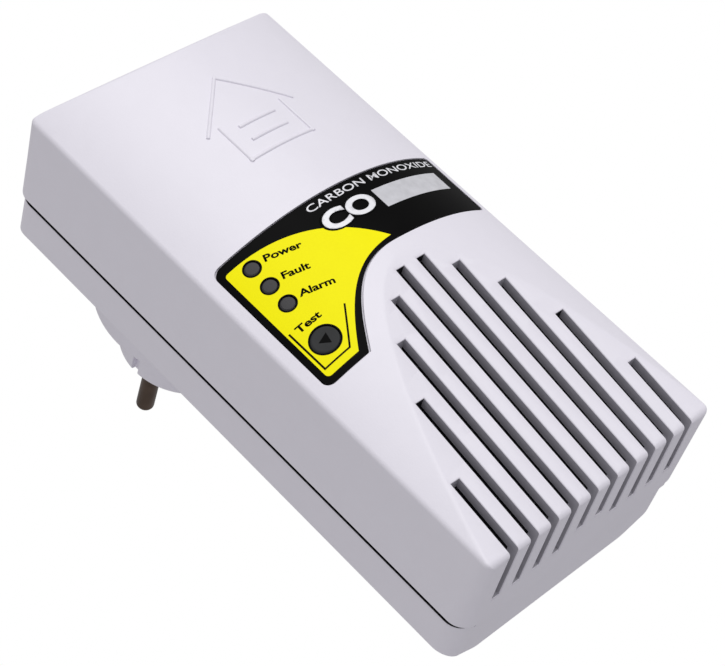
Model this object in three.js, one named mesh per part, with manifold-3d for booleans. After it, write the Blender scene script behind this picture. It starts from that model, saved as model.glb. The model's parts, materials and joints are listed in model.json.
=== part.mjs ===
// A plug-in carbon monoxide alarm: a long crowned housing with vent slots at its lower end,
// a printed panel with three indicator windows and a test button, and a mains plug on its back.
// Frame, in millimetres: the origin is the middle of the plug's engagement face, between the pins.
// +Y points into the wall, so the front faces -Y; +Z is up; +X is to the right of a person facing the front.
import * as THREE from "three";
import { mergeVertices } from "three/addons/utils/BufferGeometryUtils.js";
import Module from "manifold-3d";

const wasm = await Module();
wasm.setup();

// ---- Driving dimensions ----
const WIDTH = 74.3; // along the front edges
const LENGTH = 150;
const PLUG_BELOW_TOP = 30.5; // from the top end down to the plug's axis
const CROWN = 11; // how far the middle of the front stands proud of its long edges
const SLOT_PLANE_DEGREES = 9.3; // the vented flat leans back by this much towards the bottom end
const BEVEL_DEGREES = 54; // the flat across the top end of the crown
const SIDE_DRAFT = 0.35; // the front cover's walls lean outwards by this much to the parting line
const END_DRAFT = 0.7;
const REAR_SIDE_STEP = 0.4; // at the parting line the rear cover stands in by this much
const REAR_END_STEP = 0.8;
const FRONT_SIDE = 23.6; // side height of the front cover
const REAR_SIDE = 10.3; // side height of the rear cover
const REAR_CHAMFER_DEPTH = 6.2;
const REAR_CHAMFER_WIDTH = 14;
const PARTING_GAP = 1.4;
const PLATFORM_RADIUS = 26; // round platform that carries the plug
const PLATFORM_HEIGHT = 16;
const PLATFORM_RIM = 1.5; // rounding round the platform's edge
const PLUG_RADIUS = 17;
const PLUG_LENGTH = 17;
const PIN_RADIUS = 2.4;
const PIN_LENGTH = 19;
const PIN_SPACING = 19;
const WALL = 2.2;
const VENT_WALL = 4.5; // the slotted wall is thicker than the rest
const FRONT_CORNER_RADIUS = 2;
const CORNER_RADIUS = 4.5; // at the parting line
const FRONT_EDGE_RADIUS = 1.6;
const REAR_END_RADIUS = 1.2;
const GAP = 0.3; // clearance between neighbouring pieces
const BUTTON_TRAVEL = 0.5;

// ---- Places that follow from them ----
const Z_TOP = PLUG_BELOW_TOP;
const Z_BOTTOM = Z_TOP - LENGTH;
const Y_PLATFORM = -PLUG_LENGTH;
const Y_BACK = Y_PLATFORM - PLATFORM_HEIGHT;
const Y_REAR_EDGE = Y_BACK - REAR_CHAMFER_DEPTH;
const Y_PARTING = Y_REAR_EDGE - REAR_SIDE;
const Y_COVER_EDGE = Y_PARTING - PARTING_GAP;
const Y_FRONT_EDGE = Y_COVER_EDGE - FRONT_SIDE;
const HALF_WIDTH = WIDTH / 2;
const REAR_HALF_WIDTH = HALF_WIDTH + SIDE_DRAFT - REAR_SIDE_STEP;
const Z_REAR_TOP = Z_TOP + END_DRAFT - REAR_END_STEP;
const Z_REAR_BOTTOM = Z_BOTTOM - END_DRAFT + REAR_END_STEP;
const CROWN_RADIUS = (CROWN ** 2 + HALF_WIDTH ** 2) / (2 * CROWN);
const CROWN_CENTRE_Y = Y_FRONT_EDGE - CROWN + CROWN_RADIUS;
const VENT_SLOPE = Math.tan(THREE.MathUtils.degToRad(SLOT_PLANE_DEGREES));
const BEVEL_SLOPE = 1 / Math.tan(THREE.MathUtils.degToRad(BEVEL_DEGREES));
const Y_FAR_FRONT = Y_FRONT_EDGE - CROWN - 5;
const LIP_THICKNESS = 1.4;
const LIP_HEIGHT = 3.5; // the rear cover's lip stands this far into the front cover
const Y_LIP_FRONT = Y_COVER_EDGE - LIP_HEIGHT;

// Indicators and button, on the left flank of the crown
const CONTROL_X = -27.7;
const INDICATOR_Z = { operate: -34.5, error: -40.35, alarm: -46.2 };
const BUTTON_Z = -58.2;
const BUTTON_RADIUS = 3.15;
const WINDOW_RADIUS = 1.7;

// Printed panel: a band across the front with a tongue down its left side
const LABEL = { left: -34.3, right: 34.8, top: -29, band: -48.7, bottom: -67.1, tongue: -23 };
const LABEL_RECESS = 0.7;
const LABEL_THICKNESS = 0.35;

// Vent slots
const SLOT_LENGTHS = [19.1, 37.2, 50.2, 59.1, 64.4]; // from the outer slot to the middle one
const SLOT_PITCH = 6.52;
const SLOT_WIDTH = 2.65;
const SLOT_END_DEPTH = 16.6; // how far the slots run down the bottom end
const MIDDLE_SLOT_END_DEPTH = 12.9;

// Circuit board and fixings
const BOARD = { halfWidth: 32.5, bottom: -86, top: 14, front: -58, back: -56.4 };
const Y_SEAT = BOARD.front - GAP; // everything on the board's front starts here and grows towards -Y
const BOARD_SCREW_X = 27;
const BOARD_SCREW_Z = [8, -78];
const COVER_SCREW_X = 29;
const COVER_SCREW_Z = [21, -92];
const SCREW_SEAT_Y = -40.5;

const part = new THREE.Group();

// ---- Solids: three.js geometry in, manifold-3d joins and cuts ----
function solid(geometry) {
  const bare = geometry.clone();
  bare.deleteAttribute("normal");
  bare.deleteAttribute("uv");
  const merged = mergeVertices(bare, 1e-4);
  return new wasm.Manifold(
    new wasm.Mesh({
      numProp: 3,
      vertProperties: new Float32Array(merged.attributes.position.array),
      triVerts: new Uint32Array(merged.index.array),
    }),
  );
}

function geometryOf(manifold) {
  const mesh = manifold.getMesh();
  return new THREE.BufferGeometry()
    .setAttribute("position", new THREE.BufferAttribute(mesh.vertProperties, 3))
    .setIndex(new THREE.BufferAttribute(mesh.triVerts, 1));
}

const join = (...solids) => solids.reduce((sum, next) => sum.add(next));
const cut = (body, ...tools) => tools.reduce((left, tool) => left.subtract(tool), body);
const common = (...solids) => solids.reduce((left, next) => left.intersect(next));

// A box between two opposite corners; each pair of limits may come in either order.
function box(x0, x1, y0, y1, z0, z1) {
  const geometry = new THREE.BoxGeometry(Math.abs(x1 - x0), Math.abs(y1 - y0), Math.abs(z1 - z0));
  return solid(geometry.translate((x0 + x1) / 2, (y0 + y1) / 2, (z0 + z1) / 2));
}

// A prism's outline is given across its run, in the order that keeps the frame right-handed.
const ALONG_X = new THREE.Matrix4().makeBasis(axis(0, 1, 0), axis(0, 0, 1), axis(1, 0, 0));
const ALONG_Y = new THREE.Matrix4().makeBasis(axis(1, 0, 0), axis(0, 0, 1), axis(0, -1, 0));

function axis(x, y, z) {
  return new THREE.Vector3(x, y, z);
}

function prismX(outlineYZ, x0, x1) {
  const geometry = new THREE.ExtrudeGeometry(outlineYZ, { depth: x1 - x0, bevelEnabled: false });
  return solid(geometry.applyMatrix4(ALONG_X).translate(x0, 0, 0));
}

function prismY(outlineXZ, y0, y1) {
  const geometry = new THREE.ExtrudeGeometry(outlineXZ, { depth: y1 - y0, bevelEnabled: false });
  return solid(geometry.applyMatrix4(ALONG_Y).translate(0, y1, 0));
}

function prismZ(outlineXY, z0, z1) {
  const geometry = new THREE.ExtrudeGeometry(outlineXY, { depth: z1 - z0, bevelEnabled: false });
  return solid(geometry.translate(0, 0, z0));
}

function cylinderY(x, z, radius, y0, y1, sides = 20) {
  const geometry = new THREE.CylinderGeometry(radius, radius, Math.abs(y1 - y0), sides);
  return solid(geometry.translate(x, (y0 + y1) / 2, z));
}

// A body of revolution about a line along Y; its profile points are [radius, y], listed with y rising.
function turnedY(x, z, profile, sides = 20) {
  const points = profile.map(([radius, y]) => new THREE.Vector2(radius, y));
  return solid(new THREE.LatheGeometry(points, sides).translate(x, 0, z));
}

// The points of an arc, counter-clockwise from one angle to the other, both ends included.
function arc(x, y, radius, from, to, steps) {
  const angles = Array.from({ length: steps + 1 }, (_, step) => from + ((to - from) * step) / steps);
  return angles.map((angle) => point(x + radius * Math.cos(angle), y + radius * Math.sin(angle)));
}

function point(x, y) {
  return new THREE.Vector2(x, y);
}

const QUARTER = Math.PI / 2;

const onProfile = (points) => points.map(({ x, y }) => [x, y]);

function roundedRectangle(x0, x1, z0, z1, radius, steps = 3) {
  return new THREE.Shape([
    ...arc(x1 - radius, z0 + radius, radius, -QUARTER, 0, steps),
    ...arc(x1 - radius, z1 - radius, radius, 0, QUARTER, steps),
    ...arc(x0 + radius, z1 - radius, radius, QUARTER, 2 * QUARTER, steps),
    ...arc(x0 + radius, z0 + radius, radius, 2 * QUARTER, 3 * QUARTER, steps),
  ]);
}

// ---- Materials ----
const WHITE_PLASTIC = { color: 0xe9e7f0, roughness: 0.42, metalness: 0 };
const GREY_WINDOW = { color: 0x48484c, roughness: 0.25, metalness: 0 };
const BUTTON_GREY = { color: 0x3c3e40, roughness: 0.5, metalness: 0 };
const LABEL_FILM = { color: 0xffef20, roughness: 0.3, metalness: 0 };
const BLACK_PLASTIC = { color: 0x17171a, roughness: 0.5, metalness: 0 };
const BOARD_GREEN = { color: 0x1c5a36, roughness: 0.45, metalness: 0 };
const STEEL = { color: 0xb9bbbf, roughness: 0.3, metalness: 1 };
const DARK_METAL = { color: 0x4a3e36, roughness: 0.35, metalness: 1 };
const BRASS = { color: 0xc39a4a, roughness: 0.35, metalness: 1 };
const LAMINATION = { color: 0x5b5d62, roughness: 0.5, metalness: 0.8 };
const TAPE_YELLOW = { color: 0xd9b63a, roughness: 0.5, metalness: 0 };
const LED_CLEAR = { color: 0xd8d8dc, roughness: 0.15, metalness: 0 };
const BROWN_WIRE = { color: 0x5c3420, roughness: 0.5, metalness: 0 };
const BLUE_WIRE = { color: 0x22509c, roughness: 0.5, metalness: 0 };
const PAPER = { color: 0xd5d6da, roughness: 0.55, metalness: 0 };

function place(name, body, material) {
  const mesh = new THREE.Mesh(geometryOf(body), new THREE.MeshStandardMaterial(material));
  mesh.name = name;
  part.add(mesh);
}

// ---- Housing outlines ----
const CROWN_STEPS = 20;

// How much of their draft the front cover's walls have reached at a y: none at the front, all at the back.
const lean = (y) => (y - Y_FRONT_EDGE) / FRONT_SIDE;

// The front cover's section across X and Y: leaning sides, rounded long edges and the crown's arc.
function frontSection(inset, yBack) {
  const half = HALF_WIDTH - inset;
  const backHalf = half + SIDE_DRAFT * lean(yBack);
  const fillet = Math.max(FRONT_EDGE_RADIUS - inset, 0.4);
  const crownRadius = CROWN_RADIUS - inset;
  const filletY = CROWN_CENTRE_Y - Math.sqrt((crownRadius - fillet) ** 2 - (half - fillet) ** 2);
  const tangent = Math.atan2(CROWN_CENTRE_Y - filletY, half - fillet);
  return new THREE.Shape([
    point(backHalf, yBack),
    point(-backHalf, yBack),
    ...arc(-half + fillet, filletY, fillet, Math.PI, Math.PI + tangent, 2),
    ...arc(0, CROWN_CENTRE_Y, crownRadius, Math.PI + tangent, 2 * Math.PI - tangent, CROWN_STEPS),
    ...arc(half - fillet, filletY, fillet, -tangent, 0, 2),
  ]);
}

// The front cover's section across Y and Z: the leaning vent flat, and the bevel across the top end.
// Moved in, its slotted walls keep their extra thickness down to the heel that clears the rear cover's lip.
function frontProfile(inset, yBack) {
  const ventInset = (inset * VENT_WALL) / WALL;
  const bottom = Z_BOTTOM + ventInset;
  const top = Z_TOP - inset;
  const ventY = (z) => Y_FRONT_EDGE + ventInset - VENT_SLOPE * (z - Z_BOTTOM);
  const wallZ = (y) => Z_BOTTOM - END_DRAFT * lean(y) + inset;
  const bevelRise = inset * Math.tan(THREE.MathUtils.degToRad((90 - BEVEL_DEGREES) / 2));
  const bevelStartY = Y_FRONT_EDGE + bevelRise;
  const zFar = Z_BOTTOM + (Y_FRONT_EDGE + ventInset - Y_FAR_FRONT) / VENT_SLOPE;
  const heelY = Y_LIP_FRONT - GAP;
  const heel = inset > 0 ? [point(heelY, bottom), point(heelY, wallZ(heelY))] : [];
  return new THREE.Shape([
    point(ventY(bottom), bottom),
    ...heel,
    point(yBack, wallZ(yBack)),
    point(yBack, top + END_DRAFT * lean(yBack)),
    point(bevelStartY, top),
    point(Y_FAR_FRONT, top - (bevelStartY - Y_FAR_FRONT) * BEVEL_SLOPE),
    point(Y_FAR_FRONT, zFar),
  ]);
}

// The front cover's outline seen from the front; it grows, and its corners grow rounder, with the lean.
function frontOutline(inset, leaning) {
  const half = HALF_WIDTH + SIDE_DRAFT * leaning - inset;
  const low = Z_BOTTOM - END_DRAFT * leaning + inset;
  const high = Z_TOP + END_DRAFT * leaning - inset;
  const corner = FRONT_CORNER_RADIUS + (CORNER_RADIUS - FRONT_CORNER_RADIUS) * leaning;
  return roundedRectangle(-half, half, low, high, Math.max(corner - inset, 0.8));
}

const rearOutline = (inset) =>
  roundedRectangle(
    -REAR_HALF_WIDTH + inset,
    REAR_HALF_WIDTH - inset,
    Z_REAR_BOTTOM + inset,
    Z_REAR_TOP - inset,
    Math.max(CORNER_RADIUS - inset, 0.8),
  );

// A solid through outlines of equally many points, given with the y of each, which rises.
function loftY(stations) {
  const rings = stations.map(([outline, y]) => outline.getPoints().map((corner) => [corner.x, y, corner.y]));
  const count = rings[0].length;
  const triangles = [];
  for (let index = 1; index < count - 1; index += 1) {
    const back = (rings.length - 1) * count;
    triangles.push(0, index, index + 1, back, back + index + 1, back + index);
  }
  for (let index = 0; index < (rings.length - 1) * count; index += 1) {
    const after = index % count === count - 1 ? index + 1 - count : index + 1;
    triangles.push(index, index + count, after, after, index + count, after + count);
  }
  const geometry = new THREE.BufferGeometry().setIndex(triangles);
  return solid(geometry.setAttribute("position", new THREE.Float32BufferAttribute(rings.flat(2), 3)));
}

function frontSolid(inset, yBack) {
  const past = END_DRAFT + 1;
  return common(
    prismZ(frontSection(inset, yBack), Z_BOTTOM - past, Z_TOP + past),
    prismX(frontProfile(inset, yBack), -HALF_WIDTH - past, HALF_WIDTH + past),
    loftY([
      [frontOutline(inset, 0), Y_FAR_FRONT - 1],
      [frontOutline(inset, 0), Y_FRONT_EDGE],
      [frontOutline(inset, lean(yBack)), yBack],
    ]),
  );
}

// Everything nearer to the wall than the crown moved in by a depth: what lies under that skin.
function underCrown(depth) {
  const reach = Math.asin((HALF_WIDTH + 1) / CROWN_RADIUS);
  const radius = CROWN_RADIUS - depth;
  const front = arc(0, CROWN_CENTRE_Y, radius, -QUARTER - reach, -QUARTER + reach, CROWN_STEPS);
  return prismZ(new THREE.Shape([...front, point(0, CROWN_CENTRE_Y)]), Z_BOTTOM - 1, Z_TOP + 1);
}

// How far forward the crown moved in by a depth stands, this far from the middle.
const crownY = (x, depth) => CROWN_CENTRE_Y - Math.sqrt((CROWN_RADIUS - depth) ** 2 - x ** 2);

// The printed panel's outline, moved in by a margin all round.
function labelOutline(margin) {
  const corner = 2;
  const left = LABEL.left + margin;
  const right = LABEL.right - margin;
  const top = LABEL.top - margin;
  const bottom = LABEL.bottom + margin;
  const band = LABEL.band + margin;
  const tongue = LABEL.tongue - margin;
  const sweep = new THREE.CubicBezierCurve(
    point(tongue, bottom),
    point(tongue + 5.5, bottom + 9.1),
    point(tongue + 11, band),
    point(tongue + 24, band),
  );
  return new THREE.Shape([
    ...arc(left + corner, bottom + corner, corner, 2 * QUARTER, 3 * QUARTER, 3),
    ...sweep.getPoints(10),
    ...arc(right - corner / 2, band + corner / 2, corner / 2, -QUARTER, 0, 2),
    ...arc(right - corner / 2, top - corner / 2, corner / 2, 0, QUARTER, 2),
    ...arc(left + corner, top - corner, corner, QUARTER, 2 * QUARTER, 3),
  ]);
}

// ---- Front cover ----
const slotX = (index) => (index - (2 * SLOT_LENGTHS.length - 1) / 2) * SLOT_PITCH;

function slotCutters() {
  const cutters = [];
  for (let index = 0; index < 2 * SLOT_LENGTHS.length; index += 1) {
    const fromEdge = Math.min(index, 2 * SLOT_LENGTHS.length - 1 - index);
    const isMiddle = fromEdge === SLOT_LENGTHS.length - 1;
    const endDepth = isMiddle ? MIDDLE_SLOT_END_DEPTH : SLOT_END_DEPTH;
    const x = slotX(index);
    const x0 = x - SLOT_WIDTH / 2;
    const x1 = x + SLOT_WIDTH / 2;
    const yEnd = Y_FRONT_EDGE + endDepth;
    const top = Z_BOTTOM + SLOT_LENGTHS[fromEdge];
    cutters.push(box(x0, x1, Y_FAR_FRONT, yEnd, Z_BOTTOM - END_DRAFT - 1, top));
  }
  return cutters;
}

function coverScrewPlaces() {
  return COVER_SCREW_Z.flatMap((z) => [-COVER_SCREW_X, COVER_SCREW_X].map((x) => ({ x, z })));
}

function boardScrewPlaces() {
  return BOARD_SCREW_Z.flatMap((z) => [-BOARD_SCREW_X, BOARD_SCREW_X].map((x) => ({ x, z })));
}

const BOSS_RADIUS = 3.2;
const COVER_SHANK_RADIUS = 1.45;
const COVER_SHANK_LENGTH = 21;
const PILOT_CLEARANCE = 0.15; // round a screw's shank in the hole it is driven into

// A plain house sign in raised strokes on the crown: a roof, walls, a floor and two level bars inside.
function emblem() {
  const stroke = 0.9;
  const height = 0.4;
  const eaves = 13;
  const wall = 9.5;
  const ridge = 11;
  const bar = 5;
  const bars = [
    [-eaves, ridge - eaves, 0, ridge],
    [0, ridge, eaves, ridge - eaves],
    [-wall, ridge - eaves, -wall, -eaves],
    [wall, -eaves, wall, ridge - eaves],
    [-wall, -eaves, wall, -eaves],
    [-bar, -4, bar, -4],
    [-bar, -8.5, bar, -8.5],
  ];
  const half = stroke / 2;
  const strokes = bars.map(([x0, z0, x1, z1]) => {
    const along = point(x1 - x0, z1 - z0);
    const flat = roundedRectangle(-half, along.length() + half, -half, half, stroke / 3, 1);
    const place = (corner) => corner.rotateAround(point(0, 0), along.angle()).add(point(x0, z0));
    const turned = new THREE.Shape(flat.getPoints().map(place));
    return prismY(turned, Y_FAR_FRONT, Y_FRONT_EDGE - CROWN / 2);
  });
  return common(join(...strokes), underCrown(-height));
}

function frontCover() {
  const shell = cut(frontSolid(0, Y_COVER_EDGE), frontSolid(WALL, Y_COVER_EDGE + 1));
  const bosses = coverScrewPlaces().map(({ x, z }) =>
    cylinderY(x, z, BOSS_RADIUS, Y_FAR_FRONT, Y_COVER_EDGE, 14),
  );
  const bossesInside = common(join(...bosses), frontSolid(WALL / 2, Y_COVER_EDGE));
  const raised = cut(emblem(), frontSolid(WALL / 2, Y_COVER_EDGE));
  const pilotEnd = SCREW_SEAT_Y - COVER_SHANK_LENGTH - 1;
  const pilots = coverScrewPlaces().map(({ x, z }) =>
    cylinderY(x, z, COVER_SHANK_RADIUS + PILOT_CLEARANCE, pilotEnd, Y_COVER_EDGE + 1, 12),
  );
  // Between its corners the bottom end wall reaches on, nearly to the rear cover.
  const skirtX = HALF_WIDTH - CORNER_RADIUS;
  const skirtZ = Z_BOTTOM - END_DRAFT + 0.05;
  const skirt = box(-skirtX, skirtX, Y_COVER_EDGE - 0.5, Y_PARTING - GAP, skirtZ, skirtZ + WALL / 2);
  const recess = cut(prismY(labelOutline(0), Y_FAR_FRONT, Y_FRONT_EDGE + 1), underCrown(LABEL_RECESS));
  const windows = Object.values(INDICATOR_Z).map((z) =>
    cylinderY(CONTROL_X, z, WINDOW_RADIUS + GAP, Y_FAR_FRONT, Y_COVER_EDGE - 15),
  );
  const buttonRadius = BUTTON_RADIUS + GAP;
  const buttonHole = cylinderY(CONTROL_X, BUTTON_Z, buttonRadius, Y_FAR_FRONT, Y_COVER_EDGE - 15, 32);
  const whole = join(shell, bossesInside, raised, skirt);
  return cut(whole, ...slotCutters(), ...pilots, recess, ...windows, buttonHole);
}

place("front_cover", frontCover(), WHITE_PLASTIC);

// ---- Rear cover, with the plug's platform ----
function rearSection(inset, yFront) {
  const half = REAR_HALF_WIDTH - inset;
  const slant = Math.hypot(REAR_CHAMFER_DEPTH, REAR_CHAMFER_WIDTH);
  const edgeDrop = inset * (slant - REAR_CHAMFER_DEPTH) / REAR_CHAMFER_WIDTH;
  const yEdge = Y_REAR_EDGE - edgeDrop;
  const yBack = Y_BACK - inset;
  const flat = half - (yBack - yEdge) * (REAR_CHAMFER_WIDTH / REAR_CHAMFER_DEPTH);
  return new THREE.Shape([
    point(-half, yFront),
    point(half, yFront),
    point(half, yEdge),
    point(flat, yBack),
    point(-flat, yBack),
    point(-half, yEdge),
  ]);
}

function rearProfile(inset, yFront) {
  const radius = Math.max(REAR_END_RADIUS - inset, 0.5);
  const back = Y_BACK - inset;
  const bottom = Z_REAR_BOTTOM + inset;
  const top = Z_REAR_TOP - inset;
  return new THREE.Shape([
    point(yFront, top),
    point(yFront, bottom),
    ...arc(back - radius, bottom + radius, radius, -QUARTER, 0, 4),
    ...arc(back - radius, top - radius, radius, 0, QUARTER, 4),
  ]);
}

function rearSolid(inset, yFront) {
  return common(
    prismZ(rearSection(inset, yFront), Z_BOTTOM - 1, Z_TOP + 1),
    prismX(rearProfile(inset, yFront), -HALF_WIDTH - 1, HALF_WIDTH + 1),
    prismY(rearOutline(inset), yFront - 1, Y_BACK + 1),
  );
}

const PLUG_HOLE_RADIUS = PLUG_RADIUS + GAP;
const PILLAR_RADIUS = 4.4;
const POST_RADIUS = 2.6;
const BOARD_SHANK_RADIUS = 1.2;
const BOARD_SHANK_LENGTH = 8;
const HEAD_HEIGHT = 1.8;
const COVER_HEAD_RADIUS = 2.8;
const BOARD_HEAD_RADIUS = 2.3;

// The platform's profile, with its rounded rim.
function platformProfile(inset) {
  const rim = PLATFORM_RIM - Math.min(inset, PLATFORM_RIM - 1);
  const radius = PLATFORM_RADIUS - inset;
  const face = Y_PLATFORM - inset;
  const inside = Y_BACK - WALL - 3;
  const points = [[0, inside], [radius, inside]];
  const rounded = arc(radius - rim, face - rim, rim, 0, QUARTER, 3);
  return [...points, ...onProfile(rounded), [0, face]];
}

function rearCover() {
  const lipOutside = WALL + GAP;
  const lip = cut(
    prismY(rearOutline(lipOutside), Y_LIP_FRONT, Y_PARTING + 2),
    prismY(rearOutline(lipOutside + LIP_THICKNESS), Y_LIP_FRONT - 1, Y_PARTING + 3),
  );
  // The lip's rim reaches past the wall's inner face, so a band joins the two below the parting line.
  const band = cut(
    prismY(rearOutline(1), Y_PARTING, Y_PARTING + 2),
    prismY(rearOutline(lipOutside + LIP_THICKNESS), Y_PARTING - 1, Y_PARTING + 3),
  );
  const outside = join(rearSolid(0, Y_PARTING), turnedY(0, 0, platformProfile(0), 44));
  const inside = join(rearSolid(WALL, Y_PARTING - 1), turnedY(0, 0, platformProfile(WALL), 28));
  const shell = cut(outside, inside);
  const pillars = coverScrewPlaces().map(({ x, z }) =>
    cylinderY(x, z, PILLAR_RADIUS, Y_PARTING + GAP, Y_BACK, 12),
  );
  const posts = boardScrewPlaces().map(({ x, z }) =>
    cylinderY(x, z, POST_RADIUS, BOARD.back + GAP, Y_BACK, 10),
  );
  const inner = common(join(...pillars, ...posts), rearSolid(WALL / 2, Y_PARTING - 20));
  const counterbores = coverScrewPlaces().map(({ x, z }) =>
    cylinderY(x, z, COVER_HEAD_RADIUS + GAP, SCREW_SEAT_Y, 0, 16),
  );
  const clearances = coverScrewPlaces().map(({ x, z }) =>
    cylinderY(x, z, COVER_SHANK_RADIUS + GAP, Y_PARTING - 1, SCREW_SEAT_Y + 1, 12),
  );
  const pilotEnd = BOARD.front + BOARD_SHANK_LENGTH + 1;
  const pilots = boardScrewPlaces().map(({ x, z }) =>
    cylinderY(x, z, BOARD_SHANK_RADIUS + PILOT_CLEARANCE, BOARD.back - 1, pilotEnd, 10),
  );
  const plugHole = cylinderY(0, 0, PLUG_HOLE_RADIUS, Y_PLATFORM - WALL - 1, 1, 44);
  return cut(join(shell, lip, band, inner), ...counterbores, ...clearances, ...pilots, plugHole);
}

place("rear_cover", rearCover(), WHITE_PLASTIC);

// ---- Printed panel, indicator light pipes and test button ----
const LABEL_FLOOR = LABEL_RECESS - 0.2; // the film's back, just above the recess floor

function labelOverlay() {
  const film = cut(underCrown(LABEL_FLOOR - LABEL_THICKNESS), underCrown(LABEL_FLOOR));
  const outline = prismY(labelOutline(GAP), Y_FAR_FRONT, Y_FRONT_EDGE + 1);
  const margin = GAP / 2;
  const holes = Object.values(INDICATOR_Z).map((z) =>
    cylinderY(CONTROL_X, z, WINDOW_RADIUS + margin, Y_FAR_FRONT, Y_COVER_EDGE),
  );
  const buttonRadius = BUTTON_RADIUS + margin;
  const buttonHole = cylinderY(CONTROL_X, BUTTON_Z, buttonRadius, Y_FAR_FRONT, Y_COVER_EDGE, 32);
  return cut(common(film, outline), ...holes, buttonHole);
}

place("label_overlay", labelOverlay(), LABEL_FILM);

const LED = { radius: 1.5, height: 4.6, rimRadius: 1.85, rimHeight: 0.9 };
const PIPE_STEM_RADIUS = 1.5;
const COLLAR_RADIUS = 2.9;
const COLLAR_THICKNESS = 1.2;
const Y_COLLAR = crownY(CONTROL_X - COLLAR_RADIUS, WALL) + GAP;
const HEAD_SINK = 0.1; // the windows and the button lie this far under the crown

function lightPipe(z) {
  const yStemEnd = Y_SEAT - LED.height - GAP;
  const head = cylinderY(CONTROL_X, z, WINDOW_RADIUS, Y_FAR_FRONT, Y_COLLAR);
  const collar = cylinderY(CONTROL_X, z, COLLAR_RADIUS, Y_COLLAR, Y_COLLAR + COLLAR_THICKNESS);
  const stem = cylinderY(CONTROL_X, z, PIPE_STEM_RADIUS, Y_COLLAR, yStemEnd, 16);
  return join(common(head, underCrown(HEAD_SINK)), collar, stem);
}

function led(z) {
  const dome = arc(0, Y_SEAT - LED.height + LED.radius, LED.radius, -QUARTER, 0, 3);
  const yRim = Y_SEAT - LED.rimHeight;
  const base = [[LED.radius, yRim], [LED.rimRadius, yRim], [LED.rimRadius, Y_SEAT], [0, Y_SEAT]];
  return turnedY(CONTROL_X, z, [...onProfile(dome), ...base], 16);
}

for (const [use, z] of Object.entries(INDICATOR_Z)) {
  place(use + "_light_pipe", lightPipe(z), GREY_WINDOW);
  place(use + "_led", led(z), LED_CLEAR);
}

const SWITCH_BODY_HEIGHT = 3.6;
const SWITCH_HALF_SIDE = 3;
const PLUNGER_RADIUS = 1.7;
const PLUNGER_PROUD = 1.9;
const SWITCH_BORE_DEPTH = 2.2;
const Y_SWITCH_TOP = Y_SEAT - SWITCH_BODY_HEIGHT;
const Y_PLUNGER_TOP = Y_SWITCH_TOP - PLUNGER_PROUD;
const FLANGE_RADIUS = 5;
const Y_FLANGE = crownY(CONTROL_X - FLANGE_RADIUS, WALL) + GAP;

function testButton() {
  const cap = cylinderY(CONTROL_X, BUTTON_Z, BUTTON_RADIUS, Y_FAR_FRONT, Y_FLANGE, 32);
  const flange = cylinderY(CONTROL_X, BUTTON_Z, FLANGE_RADIUS, Y_FLANGE, Y_FLANGE + COLLAR_THICKNESS);
  const stem = cylinderY(CONTROL_X, BUTTON_Z, PIPE_STEM_RADIUS, Y_FLANGE, Y_PLUNGER_TOP - GAP, 16);
  return join(common(cap, underCrown(HEAD_SINK)), flange, stem);
}

function switchBody() {
  const shape = roundedRectangle(
    CONTROL_X - SWITCH_HALF_SIDE,
    CONTROL_X + SWITCH_HALF_SIDE,
    BUTTON_Z - SWITCH_HALF_SIDE,
    BUTTON_Z + SWITCH_HALF_SIDE,
    0.5,
  );
  const yBore = Y_SWITCH_TOP + SWITCH_BORE_DEPTH;
  const bore = cylinderY(CONTROL_X, BUTTON_Z, PLUNGER_RADIUS + GAP, Y_SWITCH_TOP - 1, yBore, 20);
  return cut(prismY(shape, Y_SWITCH_TOP, Y_SEAT), bore);
}

function switchPlunger() {
  const yEnd = Y_SWITCH_TOP + SWITCH_BORE_DEPTH - BUTTON_TRAVEL - GAP;
  return cylinderY(CONTROL_X, BUTTON_Z, PLUNGER_RADIUS, Y_PLUNGER_TOP, yEnd, 20);
}

place("test_button", testButton(), BUTTON_GREY);
place("switch_body", switchBody(), BLACK_PLASTIC);
place("switch_plunger", switchPlunger(), BLACK_PLASTIC);

// ---- Circuit board and what stands on it ----
function circuitBoard() {
  const outline = roundedRectangle(-BOARD.halfWidth, BOARD.halfWidth, BOARD.bottom, BOARD.top, 1.5);
  const holes = boardScrewPlaces().map(({ x, z }) =>
    cylinderY(x, z, BOARD_SHANK_RADIUS + GAP, BOARD.front - 1, BOARD.back + 1, 12),
  );
  return cut(prismY(outline, BOARD.front, BOARD.back), ...holes);
}

place("circuit_board", circuitBoard(), BOARD_GREEN);

const SENSOR = { x: 15, z: -72, radius: 10, height: 13 };
const SENSOR_FACE = Y_SEAT - SENSOR.height;

function sensorBody() {
  const rim = 1.2;
  const well = 1;
  return turnedY(SENSOR.x, SENSOR.z, [
    [0, SENSOR_FACE + well],
    [SENSOR.radius - 3, SENSOR_FACE + well],
    [SENSOR.radius - 3, SENSOR_FACE],
    [SENSOR.radius - rim, SENSOR_FACE],
    [SENSOR.radius, SENSOR_FACE + rim],
    [SENSOR.radius, Y_SEAT],
    [0, Y_SEAT],
  ], 32);
}

function sensorCap() {
  const radius = SENSOR.radius - 3 - GAP;
  const disc = cylinderY(SENSOR.x, SENSOR.z, radius, SENSOR_FACE - 1, SENSOR_FACE + 1 - GAP, 32);
  const inlets = arc(SENSOR.x, SENSOR.z, radius / 2, 0, (5 / 3) * Math.PI, 5).map((hole) =>
    cylinderY(hole.x, hole.y, 0.7, SENSOR_FACE - 2, SENSOR_FACE + 2, 10),
  );
  return cut(disc, ...inlets);
}

const SOUNDER = { x: -10, z: -72, radius: 11.5, height: 9, wall: 1.2, mouth: 2.2 };
const SOUNDER_FACE = Y_SEAT - SOUNDER.height;

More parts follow.
